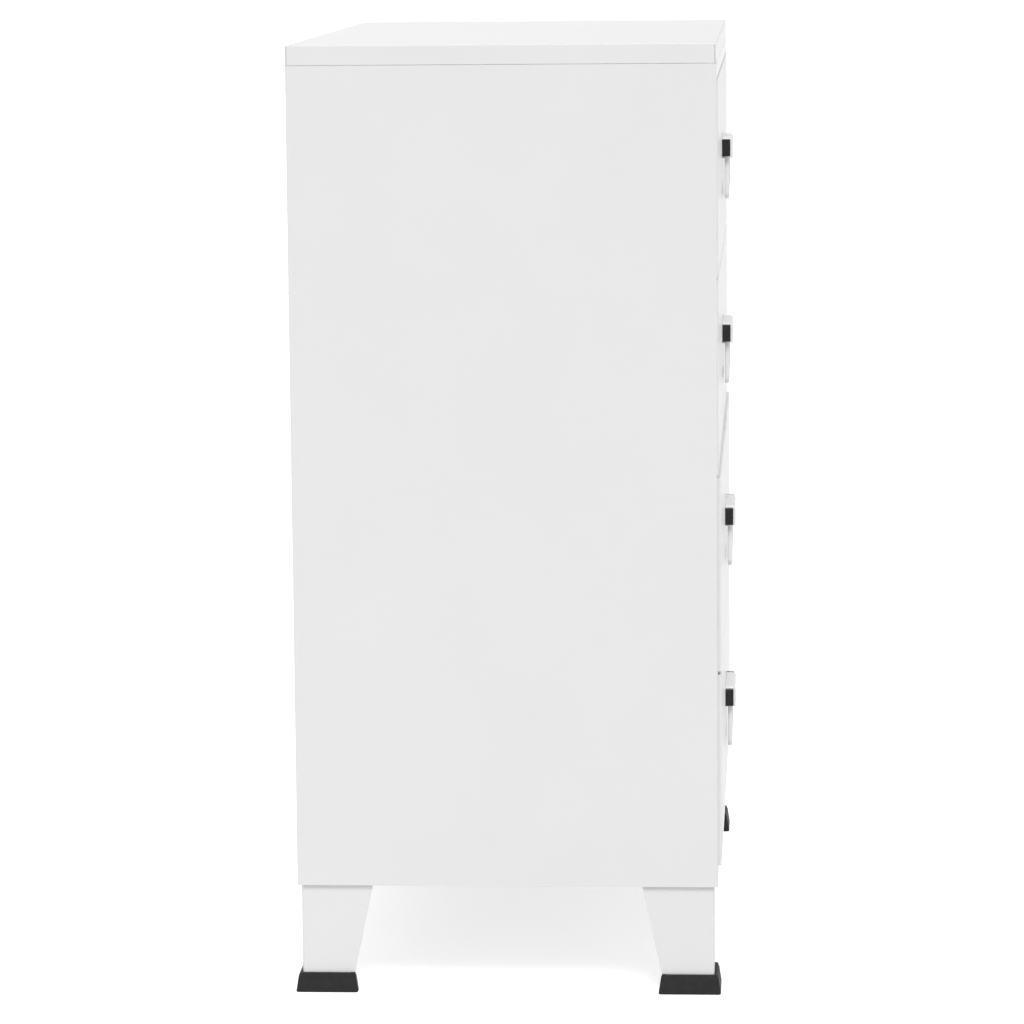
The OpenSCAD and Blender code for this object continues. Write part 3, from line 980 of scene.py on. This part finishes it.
@dataclass
class PullHandle:
    """A drawer's handle: a hood, two end blocks, a swinging bail and the screws."""

    rack: FinishRack
    row: int
    hood_wall: float = 1.5 * MM
    hood_edge: float = 0.35 * MM
    hood_front_radius: float = 4.0 * MM
    hood_front_steps: int = 8
    hood_end_radius: float = 2.6 * MM
    hood_end_steps: int = 6
    arm_width: float = 4.5 * MM
    grip_height: float = 12.0 * MM
    outer_radius: float = 8.0 * MM
    inner_radius: float = 4.0 * MM
    bend_steps: int = 8
    pivot_radius: float = 1.5 * MM
    pivot_length: float = 5.0 * MM
    pivot_root: float = 1.0 * MM
    pivot_steps: int = 24
    bail_rounding: float = 1.5 * MM
    bail_sharp_deg: float = 40.0
    bail_edge_steps: int = 4
    block_edges: EdgeDressing = field(default_factory=lambda: EdgeDressing(0.6 * MM, steps=3))
    screw_edges: EdgeDressing = field(default_factory=lambda: EdgeDressing(0.3 * MM))

    def build(self) -> list[Piece]:
        """Builds the hood and the bail, dresses the blocks and screws, and returns the pieces."""
        return [self.build_hood(), self.build_bail(),
                self.block_edges.apply(self.rack.dress_node(f"handle_blocks_{self.row}")),
                self.screw_edges.apply(self.rack.dress_node(f"handle_screws_{self.row}"))]

    def build_hood(self) -> Piece:
        """Presses the hood: a box of sheet, open below, with a round front and round ends.

        Returns:
            The hood.
        """
        node = f"handle_hood_{self.row}"
        low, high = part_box(node)
        mesh = bmesh.new()
        v = [mesh.verts.new((x, y, z)) for z in (low.z, high.z) for y in (low.y, high.y)
             for x in (low.x, high.x)]
        front, back, top = (0, 1, 5, 4), (3, 2, 6, 7), (4, 5, 7, 6)
        left, right = (0, 4, 6, 2), (1, 3, 7, 5)
        for face in (front, back, left, right, top):
            mesh.faces.new([v[i] for i in face])
        front_top = [mesh.edges.get([v[i] for i in top[:2]])]
        Bench.fold(mesh, front_top, self.hood_front_radius, self.hood_front_steps)
        ends = [e for e in mesh.edges if self.is_hood_end(e, low, high)]
        Bench.fold(mesh, ends, self.hood_end_radius, self.hood_end_steps)
        hood = Bench.place(f"pressed_hood_{self.row}", mesh, f"drawer_{self.row}", node)
        Bench.thicken(hood, self.hood_wall, self.hood_edge)
        return self.rack.dress(hood, Slot.HANDLE)

    @staticmethod
    def is_hood_end(edge: Edge, low: Vector, high: Vector) -> bool:
        """Whether an edge runs round an end of the hood, clear of the drawer front and the rim.

        Args:
            edge: The edge.
            low: The hood's lowest corner.
            high: Its highest corner.

        Returns:
            True where it does.
        """
        points = [v.co for v in edge.verts]
        at_end = any(all(abs(p.x - x) < PLANE_REACH for p in points) for x in (low.x, high.x))
        at_back = all(abs(p.y - high.y) < PLANE_REACH for p in points)
        at_rim = all(abs(p.z - low.z) < PLANE_REACH for p in points)
        return at_end and not at_back and not at_rim

    def bail_outline(self, low: Vector, high: Vector) -> list[Flat]:
        """The bail's outline as seen from the front.

        Args:
            low: The lowest corner of the bail without its pivots.
            high: Its highest corner.

        Returns:
            The points in X and Z.
        """
        outer, inner = self.outer_radius, self.inner_radius
        left, right = low.x + self.arm_width, high.x - self.arm_width
        floor = low.z + self.grip_height
        steps = self.bend_steps
        return [(low.x, high.z),
                *arc((low.x + outer, low.z + outer), outer, 180.0, 90.0, steps),
                *arc((high.x - outer, low.z + outer), outer, 270.0, 90.0, steps),
                (high.x, high.z), (right, high.z),
                *arc((right - inner, floor + inner), inner, 0.0, -90.0, steps),
                *arc((left + inner, floor + inner), inner, 270.0, -90.0, steps),
                (left, high.z)]

    def build_bail(self) -> Piece:
        """Bends the bail: two arms, a flat grip with round corners, and the pivots.

        Returns:
            The bail.
        """
        node = f"handle_bail_{self.row}"
        low, high = (corner.copy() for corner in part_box(node))
        low.x += self.pivot_length
        high.x -= self.pivot_length
        mesh = bmesh.new()
        outline = self.bail_outline(low, high)
        Bench.loft(mesh, [[(x, y, z) for x, z in outline] for y in (high.y, low.y)])
        middle = ((low.y + high.y) / 2, high.z - (high.y - low.y) / 2)
        circle = arc(middle, self.pivot_radius, 0.0, 360.0, self.pivot_steps)[:-1]
        for root, tip in ((low.x + self.pivot_root, low.x - self.pivot_length),
                          (high.x - self.pivot_root, high.x + self.pivot_length)):
            Bench.loft(mesh, [[(x, y, z) for y, z in circle] for x in (root, tip)])
        bail = Bench.place(f"bent_bail_{self.row}", mesh, f"handle_{self.row}", node)
        Bench.round_edges(bail, self.bail_rounding, self.bail_sharp_deg, self.bail_edge_steps)
        return self.rack.dress(bail, Slot.HANDLE)


@dataclass(frozen=True)
class ScrewPlace:
    """A screw of the CAD node: the middle of its seat, the way its head points, and its sizes."""

    seat: Vector
    towards: Vector
    radius: float
    shank: float
    length: float


@dataclass
class PanelScrews:
    """All screws of the panels, with low domed heads and a cross recess."""

    rack: FinishRack
    head_height: float = 1.1 * MM
    dome_fall: float = 0.75
    rim_share: float = 0.985
    wide_share: float = 0.8
    recess_reach: float = 2.1 * MM
    recess_width: float = 0.45 * MM
    recess_depth: float = 0.8 * MM
    rings: int = 12
    around: int = 32
    shading_weight: int = 60

    def build(self) -> list[Piece]:
        """Builds every screw where the CAD has one, as one piece.

        Returns:
            The piece.
        """
        solid = bmesh.new()
        solid.from_mesh(frame["nodes"]["panel_screws"].data)
        bmesh.ops.remove_doubles(solid, verts=solid.verts, dist=WELD_REACH)
        mesh = bmesh.new()
        for points in self.islands(solid):
            self.add_screw(mesh, self.measure(points))
        solid.free()
        screws = Bench.place("cross_head_screws", mesh, "cabinet", "panel_screws")
        Bench.even_shading(screws, self.shading_weight)
        return [self.rack.dress(screws, Slot.ZINC)]

    @staticmethod
    def islands(solid: Mesh) -> list[list[Vector]]:
        """Tells a mesh's separate solids apart.

        Args:
            solid: The mesh.

        Returns:
            The points of each solid.
        """
        seen: set[Vert] = set()
        found = []
        for first in solid.verts:
            island = [] if first in seen else [first]
            seen.add(first)
            for vert in island:
                near = [e.other_vert(vert) for e in vert.link_edges]
                island += [v for v in near if v not in seen]
                seen.update(near)
            if island:
                found.append([v.co for v in island])
        return found

    def measure(self, points: Sequence[Vector]) -> ScrewPlace:
        """Measures one screw.

        Args:
            points: The points of its solid.

        Returns:
            Its place and sizes.
        """
        low = Vector([min(p[i] for p in points) for i in range(3)])
        high = Vector([max(p[i] for p in points) for i in range(3)])
        size, middle = high - low, (low + high) / 2
        axis = max(range(3), key=lambda i: size[i])
        across = [i for i in range(3) if i != axis]
        radius = size[across[0]] / 2
        reaches = [math.hypot(*(p[i] - middle[i] for i in across)) for p in points]
        wide = [p[axis] for p, reach in zip(points, reaches) if reach > self.wide_share * radius]
        outwards = 1.0 if sum(wide) / len(wide) > middle[axis] else -1.0
        seat = middle.copy()
        seat[axis] = min(wide) if outwards > 0 else max(wide)
        towards = Vector([outwards if i == axis else 0.0 for i in range(3)])
        length = abs(seat[axis] - (low[axis] if outwards > 0 else high[axis]))
        return ScrewPlace(seat, towards, radius, min(reaches), length)

    def add_screw(self, mesh: Mesh, screw: ScrewPlace) -> None:
        """Adds one screw.

        Args:
            mesh: The mesh to add to.
            screw: The screw's place and sizes.
        """
        turn = screw.towards.to_track_quat("Z", "Y").to_matrix()

        def ring(radius: float, height: Callable[[float, float], float]) -> list[Point]:
            """One ring of points round the screw, each at its own height over the seat."""
            circle = arc((0.0, 0.0), radius, 0.0, 360.0, self.around)[:-1]
            return [tuple(screw.seat + turn @ Vector((x, y, height(x, y)))) for x, y in circle]

        def dome(x: float, y: float) -> float:
            """The height of the head, lower in the cross recess.

            Args:
                x: The place along one arm of the cross.
                y: The place along the other one.

            Returns:
                The height over the seat.
            """
            share = min(1.0, (x * x + y * y) / (screw.radius * screw.radius))
            top = self.head_height * math.sqrt(max(0.0, 1.0 - self.dome_fall * share))
            arm = min(abs(x), abs(y)) < self.recess_width and max(abs(x), abs(y)) < self.recess_reach
            return top - self.recess_depth if arm else top

        rings = [ring(screw.shank, lambda x, y: -screw.length), ring(screw.shank, lambda x, y: 0.0),
                 ring(screw.radius, lambda x, y: 0.0)]
        for step in range(self.rings, 0, -1):
            rings.append(ring(screw.radius * step / self.rings * self.rim_share, dome))
        Bench.loft(mesh, rings)


@dataclass(frozen=True)
class Lamp:
    """One soft lamp, far away in a direction from the cabinet."""

    name: str
    towards: Point
    level: float
    soft_deg: float

    def hang(self) -> Piece:
        """Adds the lamp to the scene.

        Returns:
            The lamp.
        """
        light = bpy.data.lights.new(self.name, "SUN")
        light.energy = self.level
        light.angle = math.radians(self.soft_deg)
        holder = in_scene(self.name, light)
        holder.rotation_euler = Vector(self.towards).to_track_quat("Z", "Y").to_euler()
        return holder


@dataclass
class Studio:
    """A pale floor, an even white room and soft lamps."""

    floor_half: float = 80.0
    floor_colour: float = 0.8
    floor_glow: float = 0.6
    room_level: float = 0.55
    lamps: tuple[Lamp, ...] = (
        Lamp("key", towards=(-0.62, -0.12, 0.78), level=1.75, soft_deg=26.0),
        Lamp("fill", towards=(0.8, 0.3, 0.7), level=0.6, soft_deg=40.0),
    )

    def build(self) -> list[Piece]:
        """Makes the room, the floor and the lamps, and returns the floor and the lamps."""
        self.light_room()
        return [self.lay_floor()] + [lamp.hang() for lamp in self.lamps]

    def lay_floor(self) -> Piece:
        """Lays a plain floor that is white to the camera outside the cabinet's shadow.

        Returns:
            The floor.
        """
        half = self.floor_half
        mesh = bpy.data.meshes.new("studio_floor")
        corners = [(x, y, 0.0) for x, y in rectangle((-half, -half), (half, half))]
        mesh.from_pydata(corners, [], [(0, 1, 2, 3)])
        floor = in_scene("studio_floor", mesh)
        sheet = ShaderSheet("pale_floor")
        level = self.floor_colour
        paint = sheet.add("BsdfDiffuse", Color=(level, level, level, 1.0))
        strength = sheet.calculate("MULTIPLY", sheet.shown_rays(), self.floor_glow)
        glow = sheet.add("Emission", Color=(1.0, 1.0, 1.0, 1.0), Strength=strength)
        both = sheet.add("AddShader")
        sheet.put(both, 0, paint.outputs[0])
        sheet.put(both, 1, glow.outputs[0])
        mesh.materials.append(sheet.finish(both))
        return floor

    def light_room(self) -> None:
        """Lights the room evenly and shows it white to the camera."""
        world = bpy.data.worlds.new("white_room")
        bpy.context.scene.world = world
        world.use_nodes = True
        sheet = NodeSheet(world.node_tree)
        level = sheet.add("MapRange", Value=sheet.shown_rays(), To_Min=self.room_level, To_Max=1.0)
        back = sheet.add("Background", Strength=level.outputs["Result"])
        sheet.add("OutputWorld", Surface=back.outputs[0])


@dataclass
class PhotoCamera:
    """The camera at the photograph's angle: on the left, a little to the front and above."""

    place: Point = (-4.3734, -0.2495, 1.0279)
    yaw_deg: float = 3.553
    pitch_deg: float = 8.054
    roll_deg: float = -0.495
    focal_px: float = 4295.8
    picture_px: float = 1024.0
    sensor: float = 36.0
    sight: float = 300.0

    def build(self) -> list[Piece]:
        """Places the camera and makes it the scene's.

        Returns:
            The camera.
        """
        yaw, pitch, roll = (math.radians(a) for a in (self.yaw_deg, self.pitch_deg, self.roll_deg))
        ahead = Vector((math.cos(yaw) * math.cos(pitch), math.sin(yaw) * math.cos(pitch),
                        -math.sin(pitch)))
        level = Vector((math.sin(yaw), -math.cos(yaw), 0.0))
        up = level.cross(ahead)
        right = level * math.cos(roll) + up * math.sin(roll)
        top = up * math.cos(roll) - level * math.sin(roll)
        lens = bpy.data.cameras.new("photo_camera")
        lens.sensor_width = self.sensor
        lens.lens = self.focal_px / self.picture_px * self.sensor
        lens.clip_end = self.sight
        camera = in_scene("photo_camera", lens)
        turn = Matrix((right, top, -ahead)).transposed().to_4x4()
        camera.matrix_world = Matrix.Translation(self.place) @ turn
        bpy.context.scene.camera = camera
        return [camera]


def main() -> None:
    """Builds and dresses the cabinet, then the studio and the camera, and reports each piece."""
    logging.basicConfig(level=logging.INFO, format="%(name)s: %(message)s")
    bpy.context.scene.view_settings.view_transform = "Standard"
    rack = FinishRack(frame["record"])
    parts: list[Part] = [BodyShell(rack), LegSet(rack, CapMould(rack))]
    for row in ROWS:
        parts += [DrawerUnit(rack, row), PullHandle(rack, row)]
    parts += [PanelScrews(rack), Studio(), PhotoCamera()]
    for part in parts:
        for piece in part.build():
            LOG.info("%s built %s", type(part).__name__, piece.name)


if __name__ == "__main__":
    main()
